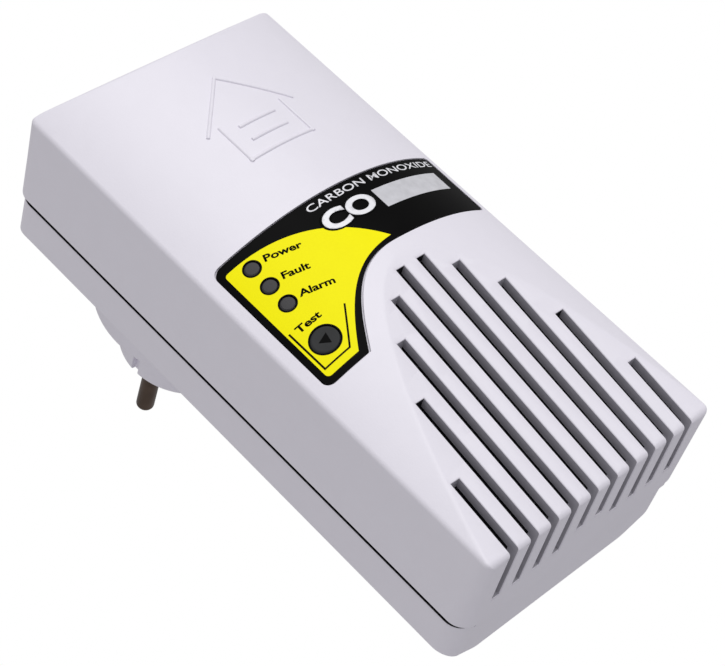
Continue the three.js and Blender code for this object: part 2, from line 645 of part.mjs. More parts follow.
function sounderHousing() {
  const inner = SOUNDER.radius - SOUNDER.wall;
  return turnedY(SOUNDER.x, SOUNDER.z, [
    [SOUNDER.mouth, SOUNDER_FACE],
    [SOUNDER.radius, SOUNDER_FACE],
    [SOUNDER.radius, Y_SEAT],
    [inner, Y_SEAT],
    [inner, SOUNDER_FACE + SOUNDER.wall],
    [SOUNDER.mouth, SOUNDER_FACE + SOUNDER.wall],
    [SOUNDER.mouth, SOUNDER_FACE],
  ], 32);
}

const TRANSFORMER = {
  x: 8,
  z: -10,
  width: 30,
  height: 25,
  stack: 11,
  leg: 10,
  window: 5,
  yoke: 5,
  coilDepth: 18,
};
const Y_CORE = Y_SEAT - TRANSFORMER.coilDepth / 2;

function transformerCore() {
  const { x, z, width, height, stack, leg, window: opening, yoke } = TRANSFORMER;
  const reach = height / 2 - yoke;
  const near = Y_CORE + stack / 2;
  const frame = box(x - width / 2, x + width / 2, near - stack, near, z - height / 2, z + height / 2);
  const windows = [-1, 1].map((side) => {
    const inner = x + (side * leg) / 2;
    return box(inner, inner + side * opening, Y_CORE - stack, Y_CORE + stack, z - reach, z + reach);
  });
  return cut(frame, ...windows);
}

function transformerCoil() {
  const { x, z, height, stack, leg, window: opening, yoke, coilDepth } = TRANSFORMER;
  const half = leg / 2 + opening - GAP;
  const tall = height / 2 - yoke - GAP;
  const reach = coilDepth / 2;
  const outline = roundedRectangle(x - half, x + half, Y_CORE - reach, Y_CORE + reach, 2.5);
  const legHalf = leg / 2 + GAP;
  const stackHalf = stack / 2 + GAP;
  const through = tall + 1;
  const [yFront, yBack] = [Y_CORE - stackHalf, Y_CORE + stackHalf];
  const bore = box(x - legHalf, x + legHalf, yFront, yBack, z - through, z + through);
  return cut(prismZ(outline, z - tall, z + tall), bore);
}

function canCapacitor(x, z, radius, height) {
  const face = Y_SEAT - height;
  const groove = 0.4;
  return turnedY(x, z, [
    [0, face],
    [radius - 0.6, face],
    [radius, face + 0.6],
    [radius, Y_SEAT - 2.4],
    [radius - groove, Y_SEAT - 2],
    [radius, Y_SEAT - 1.6],
    [radius, Y_SEAT],
    [0, Y_SEAT],
  ], 20);
}

function block(x, z, width, height, depth, corner) {
  const outline = roundedRectangle(x - width / 2, x + width / 2, z - height / 2, z + height / 2, corner, 2);
  return prismY(outline, Y_SEAT - depth, Y_SEAT);
}

function fuse(x, z) {
  const radius = 2.6;
  const tube = new THREE.CylinderGeometry(radius, radius, 20, 16).rotateX(Math.PI / 2);
  return solid(tube.translate(x, Y_SEAT - radius, z));
}

place("co_sensor_body", sensorBody(), STEEL);
place("co_sensor_cap", sensorCap(), BLACK_PLASTIC);
place("sounder_housing", sounderHousing(), BLACK_PLASTIC);
place(
  "sounder_disc",
  cylinderY(SOUNDER.x, SOUNDER.z, SOUNDER.radius - SOUNDER.wall - GAP, Y_SEAT - 4, Y_SEAT - 3.4, 32),
  BRASS,
);
place("transformer_core", transformerCore(), LAMINATION);
place("transformer_coil", transformerCoil(), TAPE_YELLOW);
place("smoothing_capacitor_1", canCapacitor(14, -35, 5, 13), BLACK_PLASTIC);
place("smoothing_capacitor_2", canCapacitor(26, -35, 4, 11), BLACK_PLASTIC);
place("suppression_capacitor", block(-16, 4, 16, 8, 12, 0.8), TAPE_YELLOW);
place("varistor", block(-15, -6, 10, 4.5, 9, 1.5), BLUE_WIRE);
place("mains_fuse", fuse(-15, -22), STEEL);
place("microcontroller", block(-4, -45, 10, 7.5, 2.2, 0.3), BLACK_PLASTIC);
place("voltage_regulator", block(27, -50, 10, 4.6, 9, 0.4), BLACK_PLASTIC);

// ---- Mains plug ----
const PLUG_RIM = 1.2;
const PLUG_FLANGE_RADIUS = 20;
const PLUG_FLANGE_THICKNESS = 3;
const GUIDE_GROOVE = { width: 2.4, depth: 1.6 };
const CLIP_RELIEF = { width: 8, depth: 3.2 };
const PIN_TAIL = 4; // how far each pin stands out of the flange inside the housing
const Y_PLUG_SEAT = Y_PLATFORM - WALL - GAP;
const Y_PIN_TAIL = Y_PLUG_SEAT - PLUG_FLANGE_THICKNESS - PIN_TAIL;

function plugInsert() {
  const back = Y_PLUG_SEAT - PLUG_FLANGE_THICKNESS;
  const body = turnedY(0, 0, [
    [0, back],
    [PLUG_FLANGE_RADIUS, back],
    [PLUG_FLANGE_RADIUS, Y_PLUG_SEAT],
    [PLUG_RADIUS, Y_PLUG_SEAT],
    [PLUG_RADIUS, -PLUG_RIM],
    [PLUG_RADIUS - PLUG_RIM, 0],
    [0, 0],
  ], 44);
  const outer = PLUG_RADIUS + 1;
  const cuts = [-1, 1].flatMap((side) => {
    const grooveHalf = GUIDE_GROOVE.width / 2;
    const reliefHalf = CLIP_RELIEF.width / 2;
    const grooveX = side * (PLUG_RADIUS - GUIDE_GROOVE.depth);
    const reliefZ = side * (PLUG_RADIUS - CLIP_RELIEF.depth);
    return [
      box(grooveX, side * outer, Y_PLATFORM, 1, -grooveHalf, grooveHalf),
      box(-reliefHalf, reliefHalf, Y_PLATFORM, 1, reliefZ, side * outer),
      cylinderY((side * PIN_SPACING) / 2, 0, PIN_RADIUS + PILOT_CLEARANCE, back - 1, 1),
    ];
  });
  return cut(body, ...cuts);
}

function pin(side) {
  const nose = 1.2;
  return turnedY((side * PIN_SPACING) / 2, 0, [
    [0, Y_PIN_TAIL],
    [PIN_RADIUS, Y_PIN_TAIL],
    [PIN_RADIUS, PIN_LENGTH - nose],
    [PIN_RADIUS - 0.35, PIN_LENGTH - 0.45],
    [PIN_RADIUS - nose, PIN_LENGTH],
    [0, PIN_LENGTH],
  ]);
}

// A soldered lead from a pin's tail to the back of the board.
function lead(side) {
  const x = (side * PIN_SPACING) / 2;
  const route = new THREE.CatmullRomCurve3([
    axis(x, Y_PIN_TAIL - GAP, 0),
    axis(x, Y_PIN_TAIL - 4, 0),
    axis(x + side * 2, Y_PIN_TAIL - 12, -3),
    axis(x + side * 5, BOARD.back + 10, -7),
    axis(x + side * 6, BOARD.back + 4, -9),
    axis(x + side * 6, BOARD.back + GAP, -9),
  ]);
  const round = new THREE.Shape();
  round.absarc(0, 0, 1.1, 0, 2 * Math.PI, false);
  return solid(new THREE.ExtrudeGeometry(round, { steps: 16, extrudePath: route, curveSegments: 4 }));
}

place("plug_insert", plugInsert(), WHITE_PLASTIC);
place("live_pin", pin(-1), DARK_METAL);
place("neutral_pin", pin(1), DARK_METAL);
place("live_lead", lead(-1), BROWN_WIRE);
place("neutral_lead", lead(1), BLUE_WIRE);

// ---- Screws ----
// A cross-recessed screw: its head is on the side that "towards" points to, 1 for +Y and -1 for -Y.
function screw(x, z, seat, towards, headRadius, shankRadius, shankLength) {
  const underHead = seat + GAP * towards;
  const shoulder = underHead + HEAD_HEIGHT * 0.6 * towards;
  const top = underHead + HEAD_HEIGHT * towards;
  const rising = [
    [0, underHead],
    [headRadius, underHead],
    [headRadius, shoulder],
    [headRadius - 0.8, top],
    [0, top],
  ];
  const head = turnedY(x, z, towards > 0 ? rising : [...rising].reverse());
  const shank = cylinderY(x, z, shankRadius, underHead, seat - shankLength * towards, 12);
  const long = headRadius * 0.6;
  const thin = 0.35;
  const recessFloor = top - towards;
  const recess = [
    box(x - long, x + long, recessFloor, top + towards, z - thin, z + thin),
    box(x - thin, x + thin, recessFloor, top + towards, z - long, z + long),
  ];
  return cut(join(head, shank), ...recess);
}

coverScrewPlaces().forEach(({ x, z }, index) => {
  const body = screw(x, z, SCREW_SEAT_Y, 1, COVER_HEAD_RADIUS, COVER_SHANK_RADIUS, COVER_SHANK_LENGTH);
  place("housing_screw_" + (index + 1), body, STEEL);
});

boardScrewPlaces().forEach(({ x, z }, index) => {
  const body = screw(x, z, BOARD.front, -1, BOARD_HEAD_RADIUS, BOARD_SHANK_RADIUS, BOARD_SHANK_LENGTH);
  place("board_screw_" + (index + 1), body, STEEL);
});

// ---- Rating label, blank, on the flat back ----
const RATING = { halfWidth: 18, top: -40, bottom: -84, lift: 0.1, thickness: 0.25 };

function ratingLabel() {
  const outline = roundedRectangle(-RATING.halfWidth, RATING.halfWidth, RATING.bottom, RATING.top, 2);
  const front = Y_BACK + RATING.lift;
  return prismY(outline, front, front + RATING.thickness);
}

place("rating_label", ratingLabel(), PAPER);

export default part;
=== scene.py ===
import json
import math

import bmesh
import bpy
from mathutils import Matrix, Vector


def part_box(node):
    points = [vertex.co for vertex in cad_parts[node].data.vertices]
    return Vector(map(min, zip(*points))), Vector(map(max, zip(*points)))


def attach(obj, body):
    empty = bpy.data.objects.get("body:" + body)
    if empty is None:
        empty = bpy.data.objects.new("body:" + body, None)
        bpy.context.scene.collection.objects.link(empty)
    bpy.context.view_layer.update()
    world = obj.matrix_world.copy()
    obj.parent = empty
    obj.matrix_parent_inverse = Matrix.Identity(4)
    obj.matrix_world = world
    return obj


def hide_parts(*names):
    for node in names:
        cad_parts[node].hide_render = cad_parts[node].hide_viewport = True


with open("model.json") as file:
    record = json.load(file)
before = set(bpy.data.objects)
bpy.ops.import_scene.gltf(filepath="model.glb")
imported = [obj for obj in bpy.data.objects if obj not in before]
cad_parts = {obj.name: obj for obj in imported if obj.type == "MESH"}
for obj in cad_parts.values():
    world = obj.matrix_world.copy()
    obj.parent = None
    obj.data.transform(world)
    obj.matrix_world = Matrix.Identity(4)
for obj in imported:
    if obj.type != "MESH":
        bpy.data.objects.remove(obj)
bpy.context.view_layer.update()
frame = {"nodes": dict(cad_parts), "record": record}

# A plug-in carbon monoxide alarm. Lengths in this script are in millimetres until a mesh is made.
# The frame is the CAD model's: the front faces -Y, the plug's pins run along +Y, and +Z is up.
MM = 0.001


def box_mm(node):
    low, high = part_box(node)
    return low / MM, high / MM


def centre(node):
    """Where a node's middle lies, as x and z."""
    low, high = box_mm(node)
    return (low.x + high.x) / 2, (low.z + high.z) / 2


# ---- Sizes read from the frame ----
cover_low, cover_high = box_mm("front_cover")
rear_low, rear_high = box_mm("rear_cover")
insert_low, insert_high = box_mm("plug_insert")
pin_low, pin_high = box_mm("live_pin")

EMBLEM_HEIGHT = 0.4
SIDE_DRAFT = 0.35  # the front cover's walls lean outwards by this much to the parting line
END_DRAFT = 0.7
PARTING_GAP = 1.4
GAP = 0.3  # the play between pieces that fit together
HALF_WIDTH = cover_high.x - SIDE_DRAFT
Z_BOTTOM = cover_low.z + END_DRAFT
Z_TOP = cover_high.z - END_DRAFT
Y_CREST = cover_low.y + EMBLEM_HEIGHT
Y_PARTING = cover_high.y + GAP
Y_COVER_EDGE = Y_PARTING - PARTING_GAP
REAR_HALF_WIDTH = rear_high.x
Y_LIP_FRONT = rear_low.y
Y_PLATFORM = rear_high.y

# ---- The housing's own shape ----
CROWN = 11
Y_FRONT_EDGE = Y_CREST + CROWN
CROWN_RADIUS = (CROWN**2 + HALF_WIDTH**2) / (2 * CROWN)
CROWN_CENTRE_Y = Y_CREST + CROWN_RADIUS
VENT_SLOPE = math.tan(math.radians(9.3))
BEVEL_SLOPE = math.tan(math.radians(54))
FRONT_CORNER_RADIUS = 2
CORNER_RADIUS = 4.5  # at the parting line
FLAT_END_HALF_WIDTH = HALF_WIDTH - CORNER_RADIUS
LEAST_CORNER_RADIUS = 0.8  # of an outline that is moved in
LONG_EDGE_RADIUS = 1.6
END_EDGE_RADIUS = 1.5
RIM_RADIUS = 0.35
CREASE_HALF_WIDTH = 0.55  # of the soft crease between the crown and a flat
LEAST_CREASE = 2  # the crease keeps this far from the middle line
CREASE_MARGIN = 1.5  # and this far from the rounded long edge
WALL = 2.2
VENT_WALL = 4.5
PLATFORM_HEIGHT = 16
PLATFORM_RADIUS = 26
PLATFORM_RIM = 1.5
Y_BACK = Y_PLATFORM - PLATFORM_HEIGHT
CHAMFER_DEPTH = 6.2
CHAMFER_WIDTH = 14
Y_REAR_EDGE = Y_BACK - CHAMFER_DEPTH
REAR_END_RADIUS = 1.2
REAR_CREASE_HALF_WIDTH = 1.5
CREASE_BLEND = 0.5
END_BLEND = 0.3
LIP_THICKNESS = 1.4
BAND_DEPTH = 1.8  # of the band that ties the lip to the rear cover's wall
FAR = 5  # how far a cutter reaches past the surface it opens

# ---- Vents, printed panel and controls ----
SLOT_LENGTHS = (19.1, 37.2, 50.2, 59.1, 64.4)  # from the outer slot to the middle one
SLOT_PITCH = 6.52
SLOT_WIDTH = 2.65
SLOT_END_DEPTH = 16.6
MIDDLE_SLOT_END_DEPTH = 12.9
SLOT_RIM = 0.35
SHADE_DEPTH = 2.8  # the slots' walls lie in shade from this far below the surface
SHADED_FROM = 0.9  # the slots' walls take their painted shade, a darker grey, at this depth
FACING = 0.9  # the least part of its normal along an axis for a face to face that way
CONTROL_X, BUTTON_Z = centre("test_button")
BUTTON_RADIUS = 3.15
WINDOW_RADIUS = 1.7
INDICATORS = ("operate", "error", "alarm")
LABEL_RECESS = 0.7
INDICATOR_Z = {indicator: centre(indicator + "_light_pipe")[1] for indicator in INDICATORS}


# ---- Curves and surfaces ----
def span(start, end, steps):
    """Equal steps from start to end, both included."""
    return [start + (end - start) * step / steps for step in range(steps + 1)]


def bezier(points, steps):
    """Points along a cubic curve given by its four control points."""
    a, b, c, d = (Vector(point) for point in points)
    along = []
    for t in span(0, 1, steps):
        s = 1 - t
        along.append(a * s**3 + b * 3 * s * s * t + c * 3 * s * t * t + d * t**3)
    return along


def arc(x, z, radius, start, end, steps):
    """Points on an arc, with its angles in degrees."""
    angles = [math.radians(angle) for angle in span(start, end, steps)]
    return [Vector((x + radius * math.cos(a), z + radius * math.sin(a))) for a in angles]


def soft_max(a, b, width):
    """The larger of two heights, with a smooth passage where they differ by less than width."""
    near = max(width - abs(a - b), 0) / width
    return max(a, b) + near * near * width / 4


def soft_min(a, b, width):
    return -soft_max(-a, -b, width)


def crown_y(x, depth=0.0):
    """Where the crown stands at a distance x from the middle, moved in by a depth."""
    return CROWN_CENTRE_Y - math.sqrt((CROWN_RADIUS - depth) ** 2 - x**2)


def vent_y(z):
    return Y_FRONT_EDGE - VENT_SLOPE * (z - Z_BOTTOM)


def bevel_y(z):
    return Y_FRONT_EDGE - BEVEL_SLOPE * (Z_TOP - z)


def rounding(distance, radius):
    """How far a rounded edge falls back, at a distance in from the end it runs along."""
    if distance >= radius:
        return 0
    return radius - math.sqrt(radius**2 - (radius - distance) ** 2)


def end_distance(z, ends, inset=0.0):
    """How far a height lies in from the nearer of two ends, themselves moved in."""
    return max(min(z - ends[0], ends[1] - z) - inset, 0)


def plan_half(z, half, ends, corner, inset):
    """Half a cover's width at a height z, where its corners are rounded."""
    return half - inset - rounding(end_distance(z, ends, inset), max(corner - inset, LEAST_CORNER_RADIUS))


FRONT_ENDS = (Z_BOTTOM, Z_TOP)
REAR_ENDS = (rear_low.z, rear_high.z)


def lean(y):
    """How much of its draft the front cover has reached: none at the front edge, all at the back."""
    return (y - Y_FRONT_EDGE) / (Y_COVER_EDGE - Y_FRONT_EDGE)


def end_wall_z(y):
    return Z_BOTTOM - END_DRAFT * lean(y)


# ---- Meshes ----
def new_object(name, bm):
    bmesh.ops.recalc_face_normals(bm, faces=bm.faces)
    mesh = bpy.data.meshes.new(name)
    bm.to_mesh(mesh)
    bm.free()
    piece = bpy.data.objects.new(name, mesh)
    bpy.context.scene.collection.objects.link(piece)
    return piece


def ring_solid(name, rings):
    """A closed solid through rings of equally many points, closed by flat ends."""
    bm = bmesh.new()
    rows = [[bm.verts.new(Vector(point) * MM) for point in ring] for ring in rings]
    bm.faces.new(rows[0])
    bm.faces.new(rows[-1])
    for row, following in zip(rows, rows[1:]):
        for index, vertex in enumerate(row):
            after = (index + 1) % len(row)
            bm.faces.new((vertex, row[after], following[after], following[index]))
    return new_object(name, bm)


def turned(name, x, z, profile, segments=48):
    """A body of revolution about a line along Y through x, z; its profile lists radius and y."""
    turns = [2 * math.pi * segment / segments for segment in range(segments)]
    rings = [[(x + r * math.cos(a), y, z + r * math.sin(a)) for a in turns] for r, y in profile]
    return ring_solid(name, rings)


def rod(name, x, z, radius, y_low, y_high, segments=32):
    """A round rod along Y."""
    return turned(name, x, z, [(radius, y_low), (radius, y_high)], segments)


def rectangle(across, up):
    """The corners between two limits each way, in order round the rectangle."""
    return [(across[0], up[0]), (across[1], up[0]), (across[1], up[1]), (across[0], up[1])]


def block(name, x, y, z):
    """A box between two limits on each axis."""
    return ring_solid(name, [[(u, level, w) for u, w in rectangle(x, z)] for level in y])


def bake(piece):
    graph = bpy.context.evaluated_depsgraph_get()
    mesh = bpy.data.meshes.new_from_object(piece.evaluated_get(graph))
    piece.modifiers.clear()
    piece.data = mesh


def combine(piece, operation, tools):
    for tool in tools:
        modifier = piece.modifiers.new(operation, "BOOLEAN")
        modifier.operation = operation
        modifier.solver = "MANIFOLD"
        modifier.object = tool
        bake(piece)
        bpy.data.objects.remove(tool)
    return piece


def join(piece, *tools):
    return combine(piece, "UNION", tools)


def cut(piece, *tools):
    return combine(piece, "DIFFERENCE", tools)


def smooth(piece):
    """Smooth shading, except at edges where the faces turn by more than an angle."""
    sharp_edge_degrees = 35
    piece.data.shade_smooth()
    piece.data.set_sharp_from_angle(angle=math.radians(sharp_edge_degrees))
    weighted = piece.modifiers.new("weighted", "WEIGHTED_NORMAL")
    weighted.keep_sharp = True
    weighted.weight = 80
    return piece


def plan_prism(name, inset, y_low, y_high):
    """The rear cover's outline seen from the front, moved in and run from one y to another."""
    radius = max(CORNER_RADIUS - inset, LEAST_CORNER_RADIUS)
    x = REAR_HALF_WIDTH - inset - radius
    low = REAR_ENDS[0] + inset + radius
    high = REAR_ENDS[1] - inset - radius
    outline = [
        *arc(x, low, radius, -90, 0, 8),
        *arc(x, high, radius, 0, 90, 8),
        *arc(-x, high, radius, 90, 180, 8),
        *arc(-x, low, radius, 180, 270, 8),
    ]
    return ring_solid(name, [[(p.x, y, p.y) for p in outline] for y in (y_low, y_high)])


def mirrored_ring(half, z):
    """A whole section from the half of it on the +X side, which starts on the middle line."""
    left = [(-x, y, z) for x, y in reversed(half[1:])]
    return left + [(x, y, z) for x, y in half]


# ---- Front cover ----
def front_half(z, inset=0.0):
    """Half the front cover's section at a height z, from the middle of the crown to its edge."""
    half = plan_half(z, HALF_WIDTH, FRONT_ENDS, FRONT_CORNER_RADIUS, inset)
    back_half = plan_half(z, HALF_WIDTH, FRONT_ENDS, CORNER_RADIUS, inset)
    radius = CROWN_RADIUS - inset
    fillet = max(LONG_EDGE_RADIUS - inset, 0.4)
    fillet_x = half - fillet
    fillet_y = CROWN_CENTRE_Y - math.sqrt((radius - fillet) ** 2 - fillet_x**2)
    tangent = math.atan2(fillet_x, CROWN_CENTRE_Y - fillet_y)
    join_x = radius * math.sin(tangent)
    vent_plane = vent_y(z) + inset * VENT_WALL / WALL
    bevel_plane = bevel_y(z) + inset * math.hypot(1, BEVEL_SLOPE)
    plane = max(vent_plane, bevel_plane)
    plane_slope = BEVEL_SLOPE if bevel_plane > vent_plane else VENT_SLOPE
    sagitta = CROWN_CENTRE_Y - plane
    crease = math.sqrt(max(radius**2 - sagitta**2, 0))
    crease = min(max(crease, LEAST_CREASE), join_x - CREASE_MARGIN)
    slope = math.hypot(crease / math.sqrt(radius**2 - crease**2), plane_slope)
    xs = span(0, crease - CREASE_HALF_WIDTH, 5)[:-1]
    xs += span(crease - CREASE_HALF_WIDTH, crease + CREASE_HALF_WIDTH, 4)
    xs += span(crease + CREASE_HALF_WIDTH, join_x, 14)[1:]
    points = [(x, crown_y(x, inset)) for x in xs]
    for angle in span(tangent, math.pi / 2, 6)[1:]:
        points.append((fillet_x + fillet * math.sin(angle), fillet_y - fillet * math.cos(angle)))
    fall = rounding(end_distance(z, FRONT_ENDS), END_EDGE_RADIUS)
    points = [(x, soft_max(y, plane, slope * CREASE_HALF_WIDTH) + fall) for x, y in points]
    if inset:
        return [*points, (back_half, Y_COVER_EDGE + 1)]
    rim_y = Y_COVER_EDGE - RIM_RADIUS
    points.append(((half + back_half) / 2, (points[-1][1] + rim_y) / 2))
    for angle in span(0, math.pi / 2, 3):
        rim_half = back_half - RIM_RADIUS * (1 - math.cos(angle))
        points.append((rim_half, rim_y + RIM_RADIUS * math.sin(angle)))
    return points


def drafted(body):
    """Leans the front cover's walls outwards, from its front edge back."""
    middle = (Z_TOP + Z_BOTTOM) / 2
    half_length = (Z_TOP - Z_BOTTOM) / 2
    for vertex in body.data.vertices:
        leaning = max(lean(vertex.co.y / MM), 0)
        vertex.co.x *= 1 + leaning * SIDE_DRAFT / HALF_WIDTH
        from_middle = vertex.co.z - middle * MM
        vertex.co.z = middle * MM + from_middle * (1 + leaning * END_DRAFT / half_length)
    return body


def front_rows():
    """Heights of the front cover's sections: close together at its ends and across the top bevel."""
    corner = [CORNER_RADIUS * (1 - math.cos(angle)) for angle in span(0, math.pi / 2, 16)]
    bevel_foot = Z_TOP - CROWN / BEVEL_SLOPE - 1
    low = [Z_BOTTOM + step for step in corner]
    high = [Z_TOP - step for step in reversed(corner)]
    return low + span(low[-1], bevel_foot, 110)[1:] + span(bevel_foot, high[0], 22)[1:-1] + high


def slot_sides(x, out):
    half = SLOT_WIDTH / 2 + out
    return x - half, x + half


SLOT_RIM_STEPS = [SLOT_RIM * step for step in (0, 0.3, 0.6, 1)]
SLOT_FLARE = [(-FAR, SLOT_RIM), *[(depth, rounding(depth, SLOT_RIM)) for depth in SLOT_RIM_STEPS]]


def slot_cutters(x, z_top, y_end):
    """A slot's two cutters: one through the leaning flat and one through the end wall."""
    front = []
    for depth, out in SLOT_FLARE:
        corners = rectangle(slot_sides(x, out), (Z_BOTTOM - FAR, z_top + out))
        front.append([(u, vent_y(w) + depth, w) for u, w in corners])
    deepest = [(u, y_end, w) for u, y, w in front[-1]]
    end = []
    for depth, out in [*SLOT_FLARE, (VENT_WALL, 0)]:
        corners = rectangle(slot_sides(x, out), (Y_CREST - FAR, y_end + out))
        end.append([(u, v, end_wall_z(v) + depth) for u, v in corners])
    return [ring_solid("slot", [*front, deepest]), ring_solid("slot_end", end)]


def all_slot_cutters():
    """The slots are longest in the middle, where they also reach less far down the end wall."""
    cutters = []
    count = 2 * len(SLOT_LENGTHS)
    for index in range(count):
        place = min(index, count - 1 - index)
        is_middle = place == len(SLOT_LENGTHS) - 1
        end_depth = MIDDLE_SLOT_END_DEPTH if is_middle else SLOT_END_DEPTH
        x = (index - (count - 1) / 2) * SLOT_PITCH
        cutters += slot_cutters(x, Z_BOTTOM + SLOT_LENGTHS[place], Y_FRONT_EDGE + end_depth)
    return cutters


STROKE_WIDTH = 1.0
STROKE_SECTION = (  # across the stroke and up from the crown, as parts of its width and height
    (-0.5, -0.5),
    (-0.44, 0.3),
    (-0.3, 0.8),
    (-0.12, 1),
    (0.12, 1),
    (0.3, 0.8),
    (0.44, 0.3),
    (0.5, -0.5),
)


def ridge(x0, z0, x1, z1):
    """A raised rounded stroke between two points, following the crown."""
    start = Vector((x0, z0))
    run = Vector((x1, z1)) - start
    along = run.normalized()
    across = Vector((-along.y, along.x))
    half = STROKE_WIDTH / 2
    rings = []
    for distance in span(-half, run.length + half, max(round(run.length), 2)):
        middle = start + along * distance
        ring = []
        for side, height in STROKE_SECTION:
            point = middle + across * side * STROKE_WIDTH
            ring.append((point.x, crown_y(point.x) - height * EMBLEM_HEIGHT, point.y))
        rings.append(ring)
    return ring_solid("ridge", rings)


def emblem():
    """A plain house sign: a roof, walls, a floor and two level bars inside."""
    return [
        ridge(-13, -2, 0, 11),
        ridge(0, 11, 13, -2),
        ridge(-9.5, -2, -9.5, -13),
        ridge(9.5, -13, 9.5, -2),
        ridge(-9.5, -13, 9.5, -13),
        ridge(-5, -4, 5, -4),
        ridge(-5, -8.5, 5, -8.5),
    ]


def depth_below(point):
    """How far a point lies inside the front cover's outer surface."""
    x, y, z = (coordinate / MM for coordinate in point)
    surface = max(vent_y(z), bevel_y(z), crown_y(min(abs(x), HALF_WIDTH)))
    return min(y - surface, z - end_wall_z(y), HALF_WIDTH - abs(x), Z_TOP - z)


def split_walls(bm, through, normal):
    """Splits the slots' side walls along a plane."""
    reach = FLAT_END_HALF_WIDTH * MM
    sideways = [face for face in bm.faces if abs(face.normal.x) > FACING]
    walls = [face for face in sideways if abs(face.calc_center_median().x) < reach]
    edges = {edge for face in walls for edge in face.edges}
    vertices = {vertex for face in walls for vertex in face.verts}
    bmesh.ops.bisect_plane(bm, geom=[*vertices, *edges, *walls], plane_co=through, plane_no=normal)


def shade(cover, wall, deep):
    """Paints shade onto the slots' walls as a darker, rougher grey, and onto the inside and the back edge as
    near-black.
    """
    cover.data.materials.append(wall)
    cover.data.materials.append(deep)
    bm = bmesh.new()
    bm.from_mesh(cover.data)
    corner = Vector((0, Y_FRONT_EDGE, Z_BOTTOM))
    end_slope = END_DRAFT / (Y_COVER_EDGE - Y_FRONT_EDGE)
    for leaning in (Vector((0, 1, VENT_SLOPE)), Vector((0, end_slope, 1))):
        normal = leaning.normalized()
        split_walls(bm, (corner + normal * SHADE_DEPTH) * MM, normal)
    # Painted shade: the deepest faces and the back edge go near-black, the slots' walls below SHADED_FROM a
    # darker grey.
    for face in bm.faces:
        middle = face.calc_center_median()
        depth = depth_below(middle)
        is_back_edge = face.normal.y > FACING and middle.y > (Y_COVER_EDGE - 0.1) * MM
        is_between_corners = abs(middle.x) < FLAT_END_HALF_WIDTH * MM
        if is_back_edge or depth > SHADE_DEPTH - 0.05:
            face.material_index = 2
        elif depth > SHADED_FROM and is_between_corners:
            face.material_index = 1
        else:
            face.material_index = 0
    bm.to_mesh(cover.data)
    bm.free()


def front_cover():
    """The crowned shell, with its emblem, slots, panel recess and openings for the controls."""
    rings = [mirrored_ring(front_half(z), z) for z in front_rows()]
    body = drafted(ring_solid("front_cover_shell", rings))
    inner_rows = span(Z_BOTTOM + VENT_WALL, Z_TOP - WALL, 60)
    rings = [mirrored_ring(front_half(z, WALL), z) for z in inner_rows]
    cavity = drafted(ring_solid("cavity", rings))
    # The skirt narrows the parting gap along the bottom end; the heel makes room for the lip there.
    skirt_z = cover_low.z + 0.05
    skirt = block(
        "skirt",
        (-FLAT_END_HALF_WIDTH, FLAT_END_HALF_WIDTH),
        (Y_COVER_EDGE - 0.5, Y_PARTING - GAP),
        (skirt_z, skirt_z + WALL / 2),
    )
    heel = block(
        "heel",
        (WALL - HALF_WIDTH, HALF_WIDTH - WALL),
        (Y_LIP_FRONT - GAP, Y_COVER_EDGE + 1),
        (Z_BOTTOM + WALL - END_DRAFT, Z_BOTTOM + VENT_WALL + 1),
    )
    join(body, *emblem(), skirt)
    cut(body, cavity, heel, *all_slot_cutters())
    recess = plate("recess", label_outline(0), -FAR, LABEL_RECESS)
    cut(body, recess, *control_holes(GAP))
    return smooth(body)


def control_holes(clearance):
    holes = [hole(z, WINDOW_RADIUS + clearance) for z in INDICATOR_Z.values()]
    return [*holes, hole(BUTTON_Z, BUTTON_RADIUS + clearance)]


def hole(z, radius):
    return rod("hole", CONTROL_X, z, radius, Y_CREST - FAR, Y_COVER_EDGE - 15, 48)


# ---- Things that lie on the crown ----
SLICE = 1.25  # widest face across the crown


def lay(name, flat, outer, inner):
    """Bends a flat mesh in the X-Z plane onto the crown, as a solid between two depths."""
    low = min(vertex.co.x for vertex in flat.verts)
    high = max(vertex.co.x for vertex in flat.verts)
    for step in range(math.ceil(low / SLICE), math.floor(high / SLICE) + 1):
        geometry = flat.verts[:] + flat.edges[:] + flat.faces[:]
        bmesh.ops.bisect_plane(flat, geom=geometry, plane_co=(step * SLICE, 0, 0), plane_no=(1, 0, 0))
    raised = bmesh.ops.extrude_face_region(flat, geom=flat.faces[:])["geom"]
    lower = {element for element in raised if isinstance(element, bmesh.types.BMVert)}
    for vertex in flat.verts:
        depth = inner if vertex in lower else outer
        x, z = vertex.co.x, vertex.co.z
        vertex.co = Vector((x, crown_y(x) + depth, z)) * MM
    return new_object(name, flat)


def plate(name, outline, outer, inner):
    flat = bmesh.new()
    flat.faces.new([flat.verts.new((point[0], 0, point[1])) for point in outline])
    return lay(name, flat, outer, inner)


def printed_ring(name, z, inside, outside):
    """A ring printed round a control."""
    flat = bmesh.new()
    steps = 48
    turns = [2 * math.pi * step / steps for step in range(steps)]
    circles = [
        [flat.verts.new((CONTROL_X + r * math.cos(a), 0, z + r * math.sin(a))) for a in turns]
        for r in (inside, outside)
    ]
    for index in range(steps):
        after = (index + 1) % steps
        flat.faces.new((circles[0][index], circles[1][index], circles[1][after], circles[0][after]))
    return lay(name, flat, *printed(2))


